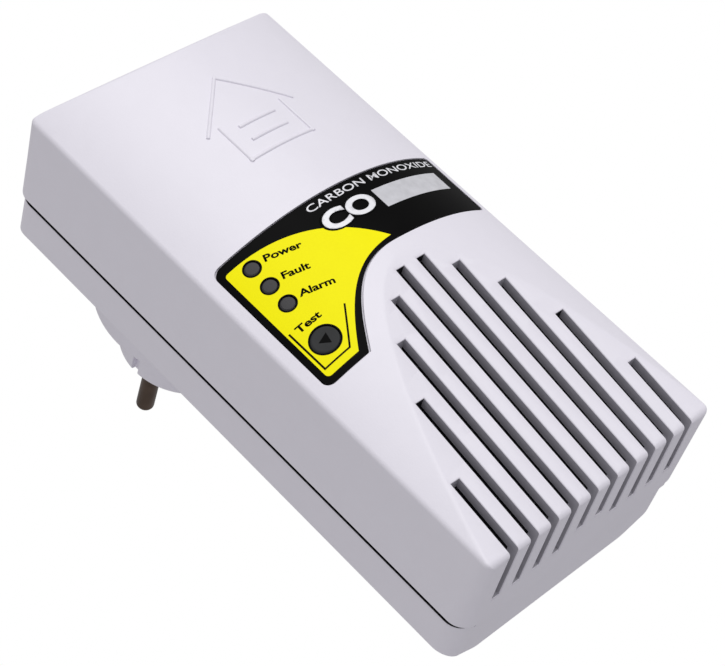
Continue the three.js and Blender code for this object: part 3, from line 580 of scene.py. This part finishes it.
def lettering(name, text, x, z, height, angle, stretch, weight, level):
    """A line of plain lettering that starts at x, z and climbs by an angle."""
    curve = bpy.data.curves.new(name, "FONT")
    curve.body = text
    curve.resolution_u = 6
    curve.offset = weight
    writer = bpy.data.objects.new(name, curve)
    bpy.context.scene.collection.objects.link(writer)
    graph = bpy.context.evaluated_depsgraph_get()
    mesh = bpy.data.meshes.new_from_object(writer.evaluated_get(graph))
    bpy.data.objects.remove(writer)
    flat = bmesh.new()
    flat.from_mesh(mesh)
    bmesh.ops.remove_doubles(flat, verts=flat.verts, dist=1e-5)
    capital = 0.7  # height of a capital letter in a font one unit high
    size = height / capital
    turn = Matrix.Rotation(math.radians(angle), 2)
    for vertex in flat.verts:
        across = turn @ Vector((vertex.co.x * size * stretch, vertex.co.y * size))
        vertex.co = (x + across.x, 0, z + across.y)
    return lay(name, flat, *printed(level))


def stroke_outline(points, width):
    """The outline of a line of this width through some points, with mitred corners."""
    points = [Vector(point) for point in points]
    left = []
    right = []
    for index, point in enumerate(points):
        before = (point - points[index - 1]).normalized() if index else None
        after = (points[index + 1] - point).normalized() if index + 1 < len(points) else None
        before = before or after
        after = after or before
        normals = [Vector((-run.y, run.x)) for run in (before, after)]
        mitre = (normals[0] + normals[1]) / (1 + normals[0].dot(normals[1]))
        left.append(point + mitre * width / 2)
        right.append(point - mitre * width / 2)
    return left + right[::-1]


LABEL_LEFT = -34.3
LABEL_RIGHT = 34.8
LABEL_TOP = -29
LABEL_BAND = -48.7
LABEL_BOTTOM = -67.1
TONGUE = -23


def label_outline(margin):
    """The printed panel's outline, moved in by a margin: a band with a tongue down its left side."""
    corner = 2
    right_corner = 1
    left, right = LABEL_LEFT + margin, LABEL_RIGHT - margin
    top, bottom = LABEL_TOP - margin, LABEL_BOTTOM + margin
    band, tongue = LABEL_BAND + margin, TONGUE - margin
    sweep = [
        (tongue, bottom),
        (tongue + 5.5, bottom + 9.1),
        (tongue + 11, band),
        (tongue + 24, band),
    ]
    return [
        *arc(left + corner, bottom + corner, corner, 180, 270, 6),
        *bezier(sweep, 24),
        *arc(right - right_corner, band + right_corner, right_corner, -90, 0, 4),
        *arc(right - right_corner, top - right_corner, right_corner, 0, 90, 4),
        *arc(left + corner, top - corner, corner, 90, 180, 6),
    ]


FILM = 0.12  # depth of the film's face under the crown
INK = 0.025  # thickness of one layer of print
LAYER = 0.015  # how far one layer stands over the one below


def printed(level):
    """The outer and inner depth of print laid this many layers over the film."""
    outer = FILM - LAYER * level
    return outer, outer + INK


def yellow_outline():
    """The yellow field, from its lower left corner round to its tip and back."""
    left, bottom, tip = -32.7, -65.2, (1.6, -47.1)
    upper = [(left + 1, -31.6), (-18, -31.5), (-6, -37), tip]
    lower = [tip, (-8.5, -47.9), (-15.5, -50.8), (-24.7, bottom)]
    return [
        *arc(left + 1, bottom + 1, 1, 180, 270, 5),
        *reversed(bezier(lower, 20)),
        *reversed(bezier(upper, 20)[:-1]),
        *arc(left + 0.8, -32.4, 0.8, 90, 180, 4)[1:],
    ]


# ---- Rear cover and plug ----
def rear_half(z, inset=0.0):
    """Half the rear cover's section at a height z, from the middle of the back to its edge."""
    half = plan_half(z, REAR_HALF_WIDTH, REAR_ENDS, CORNER_RADIUS, inset)
    back = Y_BACK - inset
    slant = math.hypot(CHAMFER_DEPTH, CHAMFER_WIDTH)
    edge = Y_REAR_EDGE - inset * (slant - CHAMFER_DEPTH) / CHAMFER_WIDTH
    steep = CHAMFER_DEPTH / CHAMFER_WIDTH
    end = back - rounding(end_distance(z, REAR_ENDS, inset), max(REAR_END_RADIUS - inset, 0.3))
    corner = REAR_HALF_WIDTH - inset - (back - edge) / steep
    fillet = 0.8
    xs = span(0, corner - REAR_CREASE_HALF_WIDTH, 5)[:-1]
    xs += span(corner - REAR_CREASE_HALF_WIDTH, corner + REAR_CREASE_HALF_WIDTH, 4)
    xs = [x for x in xs if x < half - fillet - 0.5]
    xs += span(xs[-1], half - fillet, 18 - len(xs))[1:]
    points = []
    for x in xs:
        slanted = edge + (REAR_HALF_WIDTH - inset - x) * steep
        points.append((x, soft_min(soft_min(back, slanted, CREASE_BLEND), end, END_BLEND)))
    last = points[-1][1]
    for angle in span(0, math.pi / 2, 4)[1:]:
        points.append((half - fillet * (1 - math.sin(angle)), last - fillet * (1 - math.cos(angle)) * 0.8))
    if inset:
        return [*points, (half, Y_PARTING - 1)]
    rim_y = Y_PARTING + RIM_RADIUS
    for angle in span(0, math.pi / 2, 3):
        points.append((half - RIM_RADIUS * (1 - math.cos(angle)), rim_y - RIM_RADIUS * math.sin(angle)))
    return points


def rear_rows(inset=0.0):
    low, high = REAR_ENDS[0] + inset, REAR_ENDS[1] - inset
    ends = [(CORNER_RADIUS - inset) * (1 - math.cos(angle)) for angle in span(0, math.pi / 2, 16)]
    bottom = [low + step for step in ends]
    top = [high - step for step in reversed(ends)]
    return bottom + span(bottom[-1], top[0], 40)[1:-1] + top


def platform(inset):
    rim = max(PLATFORM_RIM - inset, 0.8)
    radius = PLATFORM_RADIUS - inset
    face = Y_PLATFORM - inset
    profile = [(radius, Y_BACK - WALL - 3)]
    for angle in span(0, math.pi / 2, 8):
        profile.append((radius - rim * (1 - math.cos(angle)), face - rim * (1 - math.sin(angle))))
    return turned("platform", 0, 0, profile, 96)


def places(node, count):
    """The axes of numbered screws, as x and z."""
    return [centre(f"{node}_{index + 1}") for index in range(count)]


HOUSING_SCREWS = places("housing_screw", 4)
BOARD_SCREWS = places("board_screw", 4)
SCREW_SEAT_Y = -40.5
Y_PILLAR_END = Y_BACK - 4.6
Y_POST_END = Y_BACK - 2.8
HEAD_RADIUS = 2.8
SHANK_RADIUS = 1.45
PILLAR_RADIUS = 4.4
POST_RADIUS = 2.6
PLUG_RADIUS = 17
Y_BOARD_BACK = box_mm("circuit_board")[1].y


def bores(name, radius, y_low, y_high, segments=32):
    """A cutter on the axis of each housing screw."""
    return [rod(name, x, z, radius, y_low, y_high, segments) for x, z in HOUSING_SCREWS]


def rear_cover():
    """A shell with the plug's platform, a lip inside the front cover, pillars and posts."""
    body = ring_solid("rear_cover_shell", [mirrored_ring(rear_half(z), z) for z in rear_rows()])
    join(body, platform(0))
    cavity = ring_solid("cavity", [mirrored_ring(rear_half(z, WALL), z) for z in rear_rows(WALL)])
    cut(body, cavity, platform(WALL))
    lip = plan_prism("lip", WALL + GAP, Y_LIP_FRONT, Y_PARTING + 2)
    band = plan_prism("band", 1, Y_PARTING, Y_PARTING + BAND_DEPTH)
    join(lip, band)
    cut(lip, plan_prism("inside", WALL + GAP + LIP_THICKNESS, Y_LIP_FRONT - 1, Y_PARTING + 3))
    join(body, lip)
    pillars = [
        rod("pillar", x, z, PILLAR_RADIUS, Y_PARTING + GAP, Y_PILLAR_END, 24) for x, z in HOUSING_SCREWS
    ]
    posts = [
        rod("post", x, z, POST_RADIUS, Y_BOARD_BACK + GAP, Y_POST_END, 20) for x, z in BOARD_SCREWS
    ]
    join(body, *pillars, *posts)
    opening = rod("opening", 0, 0, PLUG_RADIUS + GAP, Y_PLATFORM - WALL - 1, 1, 64)
    cut(body, *bores("counterbore", HEAD_RADIUS + GAP, SCREW_SEAT_Y, 0), opening)
    cut(body, *bores("clearance", SHANK_RADIUS + GAP, Y_PARTING - 1, SCREW_SEAT_Y + 1, 20))
    return smooth(body)


GROOVE_DEPTH = 1.6
GROOVE_HALF_WIDTH = 1.2
RELIEF_DEPTH = 3.2
RELIEF_HALF_WIDTH = 4
PIN_PLAY = 0.15


def plug_insert():
    """The round insert, with a flange inside the platform, two bores, two grooves and two reliefs."""
    flange_radius = insert_high.x
    seat = Y_PLATFORM - WALL - GAP
    rim = 1.2
    profile = [(flange_radius, insert_low.y), (flange_radius, seat), (PLUG_RADIUS, seat)]
    for angle in span(0, math.pi / 2, 6):
        profile.append((PLUG_RADIUS - rim * (1 - math.cos(angle)), -rim * (1 - math.sin(angle))))
    body = turned("plug_body", 0, 0, profile, 96)
    for side in (-1, 1):
        groove = sorted((side * (PLUG_RADIUS - GROOVE_DEPTH), side * (PLUG_RADIUS + 1)))
        relief = sorted((side * (PLUG_RADIUS - RELIEF_DEPTH), side * (PLUG_RADIUS + 1)))
        x = side * (pin_low.x + pin_high.x) / 2
        radius = (pin_high.x - pin_low.x) / 2
        bore = rod("pin_bore", x, 0, radius + PIN_PLAY, insert_low.y - 1, 1)
        cut(
            body,
            block("groove", groove, (Y_PLATFORM, 1), (-GROOVE_HALF_WIDTH, GROOVE_HALF_WIDTH)),
            block("relief", (-RELIEF_HALF_WIDTH, RELIEF_HALF_WIDTH), (Y_PLATFORM, 1), relief),
            bore,
        )
    return smooth(body)


def plug_pin(name, node):
    low, high = box_mm(node)
    x = centre(node)[0]
    radius = (high.x - low.x) / 2
    nose = 1.4
    profile = [(radius, low.y), (radius, high.y - nose)]
    for angle in span(0, math.pi / 2, 8)[1:-1]:
        profile.append((radius - nose * (1 - math.cos(angle)), high.y - nose * (1 - math.sin(angle))))
    profile.append((radius - nose, high.y))
    return smooth(turned(name, x, 0, profile, 40))


def housing_screw(name, node):
    low, high = box_mm(node)
    x, z = centre(node)
    radius = (high.x - low.x) / 2
    tip = 1.5
    under = SCREW_SEAT_Y + GAP
    height = high.y - under
    profile = [
        (SHANK_RADIUS * 0.5, low.y),
        (SHANK_RADIUS, low.y + tip),
        (SHANK_RADIUS, under),
        (radius, under),
    ]
    for angle in span(0, 80, 6):
        a = math.radians(angle)
        profile.append((radius * math.cos(a), under + height * (0.35 + 0.65 * math.sin(a))))
    head = turned(name, x, z, profile, 32)
    long, thin = radius * 0.6, 0.32
    floor = high.y - 1
    recesses = [
        block("recess", (x - long, x + long), (floor, high.y + 1), (z - thin, z + thin)),
        block("recess", (x - thin, x + thin), (floor, high.y + 1), (z - long, z + long)),
    ]
    return smooth(cut(head, *recesses))


# ---- Light pipes and button ----
FLANGE_THICKNESS = 1.2
PIPE_FLANGE_RADIUS = 2.9
BUTTON_FLANGE_RADIUS = 5
STEM_RADIUS = 1.5


def follow_crown(piece, x, below):
    """Tilts a turned piece's outer end to lie along the crown."""
    for vertex in piece.data.vertices:
        if vertex.co.y < below * MM:
            vertex.co.y += (crown_y(vertex.co.x / MM) - crown_y(x)) * MM
    return piece


def rounded_edge(radius, y, rim, steps):
    """The part of a control's profile that turns from its face, at y, down its side."""
    angles = span(0, math.pi / 2, steps)
    return [(radius - rim * (1 - math.sin(a)), y + rim * (1 - math.cos(a))) for a in angles]


def flange_and_stem(radius, flange_radius, y_end):
    """The hidden part of a control's profile: a flange under the cover and a stem behind it."""
    flange = crown_y(CONTROL_X - flange_radius, WALL) + GAP
    stem = flange + FLANGE_THICKNESS
    return [
        (radius, flange),
        (flange_radius, flange),
        (flange_radius, stem),
        (STEM_RADIUS, stem),
        (STEM_RADIUS, y_end),
    ]


def light_pipe(indicator):
    y_end = box_mm(indicator + "_light_pipe")[1].y
    face = crown_y(CONTROL_X) + 0.05
    profile = [
        (0.5, face - 0.02),
        (1.4, face + 0.02),
        *rounded_edge(WINDOW_RADIUS, face + 0.1, 0.3, 4),
        *flange_and_stem(WINDOW_RADIUS, PIPE_FLANGE_RADIUS, y_end),
    ]
    pipe = turned(indicator + "_window", CONTROL_X, INDICATOR_Z[indicator], profile, 40)
    return smooth(follow_crown(pipe, CONTROL_X, face + 1))


def test_button():
    face = crown_y(CONTROL_X) + 0.02
    y_end = box_mm("test_button")[1].y
    profile = [
        (0.5, face + 0.08),
        (BUTTON_RADIUS - 1.2, face + 0.06),
        (BUTTON_RADIUS - 0.7, face + 0.03),
        *rounded_edge(BUTTON_RADIUS, face, 0.45, 5),
        *flange_and_stem(BUTTON_RADIUS, BUTTON_FLANGE_RADIUS, y_end),
    ]
    cap = turned("button_cap", CONTROL_X, BUTTON_Z, profile, 64)
    return smooth(follow_crown(cap, CONTROL_X, face + 1))


# ---- Materials ----
GRAIN_SCALE = 2200
GRAIN_HEIGHT = 0.00005


def linear(red, green, blue):
    """A colour given in the usual 0-255 way, as the shader takes it."""
    values = [channel / 255 for channel in (red, green, blue)]
    return [v / 12.92 if v <= 0.04045 else ((v + 0.055) / 1.055) ** 2.4 for v in values]


def material(
    name, colour, roughness, metallic=0.0, variation=0.03, grain=0.0, coarse=180, coat=0.0, specular=0.5
):
    """A procedural surface: a slow drift in its colour and a fine grain in its relief."""
    made = bpy.data.materials.new(name)
    made.use_nodes = True
    nodes, links = made.node_tree.nodes, made.node_tree.links
    shader = nodes["Principled BSDF"]
    shader.inputs["Roughness"].default_value = roughness
    shader.inputs["Metallic"].default_value = metallic
    shader.inputs["Coat Weight"].default_value = coat
    shader.inputs["Specular IOR Level"].default_value = specular
    place = nodes.new("ShaderNodeTexCoord")
    drift = nodes.new("ShaderNodeTexNoise")
    drift.inputs["Scale"].default_value = coarse
    drift.inputs["Detail"].default_value = 3
    ramp = nodes.new("ShaderNodeValToRGB")
    ramp.color_ramp.elements[0].position = 0.3
    ramp.color_ramp.elements[1].position = 0.7
    ramp.color_ramp.elements[0].color = [*[c * (1 - variation) for c in colour], 1]
    ramp.color_ramp.elements[1].color = [*[min(c * (1 + variation), 1) for c in colour], 1]
    links.new(place.outputs["Object"], drift.inputs["Vector"])
    links.new(drift.outputs["Fac"], ramp.inputs["Fac"])
    links.new(ramp.outputs["Color"], shader.inputs["Base Color"])
    if grain:
        texture = nodes.new("ShaderNodeTexNoise")
        texture.inputs["Scale"].default_value = GRAIN_SCALE
        texture.inputs["Detail"].default_value = 2
        bump = nodes.new("ShaderNodeBump")
        bump.inputs["Strength"].default_value = grain
        bump.inputs["Distance"].default_value = GRAIN_HEIGHT
        links.new(place.outputs["Object"], texture.inputs["Vector"])
        links.new(texture.outputs["Fac"], bump.inputs["Height"])
        links.new(bump.outputs["Normal"], shader.inputs["Normal"])
    return made


WHITE = linear(235, 232, 241)
finishes = {
    "white_plastic": material("white_plastic", WHITE, 0.42, variation=0.006, grain=0.25),
    "window_grey": material("window_grey", linear(56, 55, 57), 0.4, variation=0.1, grain=0.3, specular=0.25),
    "button_grey": material("button_grey", linear(52, 53, 54), 0.5, variation=0.08, grain=0.4, specular=0.12),
    "label_film": material("label_film", linear(9, 9, 9), 0.4, variation=0.1, grain=0.1, specular=0.03),
    "black_plastic": material("black_plastic", linear(26, 26, 28), 0.5, variation=0.1, grain=0.4),
    "board_green": material("board_green", linear(28, 84, 52), 0.35, variation=0.15, grain=0.2, coat=0.3),
    "steel": material("steel", linear(190, 191, 196), 0.3, metallic=1.0, variation=0.05, grain=0.2),
    "pin_metal": material("pin_metal", linear(92, 78, 68), 0.35, metallic=1.0, variation=0.15, grain=0.3),
    "brass": material("brass", linear(200, 160, 84), 0.3, metallic=1.0, variation=0.08, grain=0.2),
    "lamination": material("lamination", linear(92, 94, 100), 0.45, metallic=0.8, variation=0.12, grain=0.4),
    "yellow_tape": material("yellow_tape", linear(214, 180, 60), 0.4, variation=0.06, grain=0.3),
    "led_clear": material("led_clear", linear(220, 222, 226), 0.12, variation=0.02, grain=0.05, coat=0.5),
    "brown_insulation": material("brown_insulation", linear(96, 56, 34), 0.5, variation=0.08, grain=0.3),
    "blue_insulation": material("blue_insulation", linear(36, 84, 156), 0.5, variation=0.08, grain=0.3),
    "label_paper": material("label_paper", linear(206, 208, 214), 0.45, metallic=0.3, grain=0.2),
}
yellow_ink = material("yellow_ink", linear(255, 246, 6), 0.45, variation=0.01, grain=0.1, specular=0.08)
white_ink = material("white_ink", linear(240, 240, 244), 0.35, variation=0.02, grain=0.1)
black_ink = material("black_ink", linear(9, 9, 9), 0.4, variation=0.1, grain=0.1, specular=0.03)
# Painted shade: a darker grey for the slots' walls, and near-black for the deep inside and the parting gap,
# where shade falls on the white plastic.
shaded_wall = material("shaded_wall", linear(178, 176, 184), 0.6, variation=0.02, grain=0.2, specular=0.2)
shaded_inside = material("shaded_inside", linear(30, 30, 33), 0.7, variation=0.05, grain=0.2, specular=0.1)
silver_ink = material("silver_ink", linear(205, 205, 210), 0.35, variation=0.08, grain=0.1, coarse=500)


def use(piece, finish):
    piece.data.materials.clear()
    piece.data.materials.append(finish)
    return piece


def add(piece, body, slot, finish=None, stands_for=()):
    """Gives a piece its finish and its body, and hides the CAD nodes it stands for."""
    use(piece, finish or finishes[slot])
    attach(piece, body)
    if stands_for:
        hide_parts(*stands_for)
    return piece


def add_print(piece, finish, body="housing"):
    return add(piece, body, "label_film", finish)


# ---- The object ----
for entry in frame["record"]["subparts"]:
    use(frame["nodes"][entry["node"]], finishes[entry["material_slot"]])

cover = add(front_cover(), "housing", "white_plastic", stands_for=["front_cover"])
shade(cover, shaded_wall, shaded_inside)
rear = add(rear_cover(), "housing", "white_plastic", stands_for=["rear_cover"])
# Painted shade: the rear cover's faces in the parting gap take the near-black shaded_inside colour.
rear.data.materials.append(shaded_inside)
for face in rear.data.polygons:
    at_parting = face.center.y < (Y_PARTING + 0.05) * MM and face.normal.y < FACING
    face.material_index = int(at_parting)
add(plug_insert(), "housing", "white_plastic", stands_for=["plug_insert"])
for pin in ("live_pin", "neutral_pin"):
    add(plug_pin(pin + "_turned", pin), "housing", "pin_metal", stands_for=[pin])
for number in range(1, len(HOUSING_SCREWS) + 1):
    node = f"housing_screw_{number}"
    add(housing_screw(node + "_turned", node), "housing", "steel", stands_for=[node])
for indicator in INDICATORS:
    add(light_pipe(indicator), "housing", "window_grey", stands_for=[indicator + "_light_pipe"])
add(test_button(), "button", "button_grey", stands_for=["test_button"])

film = plate("panel_film", label_outline(GAP), FILM, LABEL_RECESS - 0.1)
add(smooth(cut(film, *control_holes(0.15))), "housing", "label_film", stands_for=["label_overlay"])

field = plate("yellow_field", yellow_outline(), *printed(1))
add_print(cut(field, *control_holes(0.4)), yellow_ink)
for indicator, z in INDICATOR_Z.items():
    ring = printed_ring(indicator + "_ring", z, WINDOW_RADIUS + 0.1, WINDOW_RADIUS + 0.35)
    add_print(ring, black_ink)
button_ring = printed_ring("button_ring", BUTTON_Z, BUTTON_RADIUS + 0.1, BUTTON_RADIUS + 0.4)
add_print(button_ring, black_ink)
chevron = stroke_outline([(-32, -51.8), (-31.9, -63.2), (-25.4, -63.2), (-19.4, -54.6)], 0.42)
add_print(plate("button_frame", chevron, *printed(2)), black_ink)
window = rectangle((7.6, 31), (-40.4, -34.6))
add_print(plate("blank_window", window, *printed(1)), silver_ink)
CAPTIONS = {
    "Power": (-24.9, -35.2, -18),
    "Fault": (-24.9, -41.1, -18),
    "Alarm": (-24.9, -47, -18),
    "Test": (-30.6, -53.3, -2),
}
for text, (x, z, angle) in CAPTIONS.items():
    name = "caption_" + text.lower()
    piece = lettering(name, text, x, z, height=1.7, angle=angle, stretch=1.35, weight=0.03, level=2)
    add_print(piece, black_ink)
title = lettering(
    "gas_name", "CARBON MONOXIDE", -9.6, -32.2, height=1.9, angle=0, stretch=1.62, weight=0.008, level=1
)
add_print(title, white_ink)
SYMBOL = {"x": -9.3, "z": -39.1, "height": 4.9, "angle": 0, "stretch": 1.45}
add_print(lettering("gas_symbol_edge", "CO", weight=0.105, level=3, **SYMBOL), black_ink)
add_print(lettering("gas_symbol", "CO", weight=0.04, level=4, **SYMBOL), white_ink)
arrow = arc(CONTROL_X, BUTTON_Z, 1.55, 48, 288, 2)
arrow_front, arrow_back = 0.045, 0.12
add_print(plate("button_arrow", arrow, arrow_front, arrow_back), black_ink, "button")

# ---- Stage, light and camera ----
FLOOR_REACH = 1500
floor = block("floor", (-FLOOR_REACH, FLOOR_REACH), (-FLOOR_REACH, FLOOR_REACH), (-620, -600))
use(floor, material("pale_floor", linear(228, 228, 230), 0.6, variation=0.02, coarse=3))


def world_light(strength, colour):
    """White behind the object, and a softer, slightly cool light from all round."""
    world = bpy.data.worlds.new("studio")
    bpy.context.scene.world = world
    world.use_nodes = True
    nodes, links = world.node_tree.nodes, world.node_tree.links
    nodes.clear()
    seen = nodes.new("ShaderNodeBackground")
    seen.inputs["Color"].default_value = (1, 1, 1, 1)
    lit = nodes.new("ShaderNodeBackground")
    lit.inputs["Color"].default_value = (*colour, 1)
    lit.inputs["Strength"].default_value = strength
    path = nodes.new("ShaderNodeLightPath")
    mix = nodes.new("ShaderNodeMixShader")
    output = nodes.new("ShaderNodeOutputWorld")
    links.new(path.outputs["Is Camera Ray"], mix.inputs["Fac"])
    links.new(lit.outputs["Background"], mix.inputs[1])
    links.new(seen.outputs["Background"], mix.inputs[2])
    links.new(mix.outputs["Shader"], output.inputs["Surface"])


def sun(name, direction, strength, angle):
    """A light from far off in a direction, spread over an angle in degrees."""
    light = bpy.data.lights.new(name, "SUN")
    light.energy = strength
    light.angle = math.radians(angle)
    lamp = bpy.data.objects.new(name, light)
    bpy.context.scene.collection.objects.link(lamp)
    lamp.rotation_mode = "QUATERNION"
    lamp.rotation_quaternion = Vector(direction).to_track_quat("Z", "Y")


world_light(0.445, (0.99, 0.98, 1.0))
sun("key", direction=(0.14, -1, 0.32), strength=1.6, angle=50)
sun("side", direction=(-1, -0.15, 0.1), strength=0.23, angle=60)

AZIMUTH, ELEVATION, ROLL = -38.35, -20.43, 46.45
DISTANCE = 488
AIM = Vector((3.4, -50.6, -47.7))
LENS = 103.5
SENSOR_WIDTH = 36


def camera():
    """Looks at the aimed point from a distance, turned about its own axis by the roll."""
    azimuth, elevation, roll = (math.radians(angle) for angle in (AZIMUTH, ELEVATION, ROLL))
    back = Vector((
        math.sin(azimuth) * math.cos(elevation),
        -math.cos(azimuth) * math.cos(elevation),
        math.sin(elevation),
    ))
    level = Vector((0, 0, 1)).cross(back).normalized()
    upright = back.cross(level)
    up = upright * math.cos(roll) + upright.cross(back) * math.sin(roll)
    right = up.cross(back)
    data = bpy.data.cameras.new("camera")
    data.lens = LENS
    data.sensor_width = SENSOR_WIDTH
    data.clip_start = 0.05
    eye = bpy.data.objects.new("camera", data)
    bpy.context.scene.collection.objects.link(eye)
    turn = Matrix((right, up, back)).transposed().to_4x4()
    eye.matrix_world = Matrix.Translation((AIM + back * DISTANCE) * MM) @ turn
    bpy.context.scene.camera = eye


camera()
bpy.context.scene.view_settings.view_transform = "Standard"
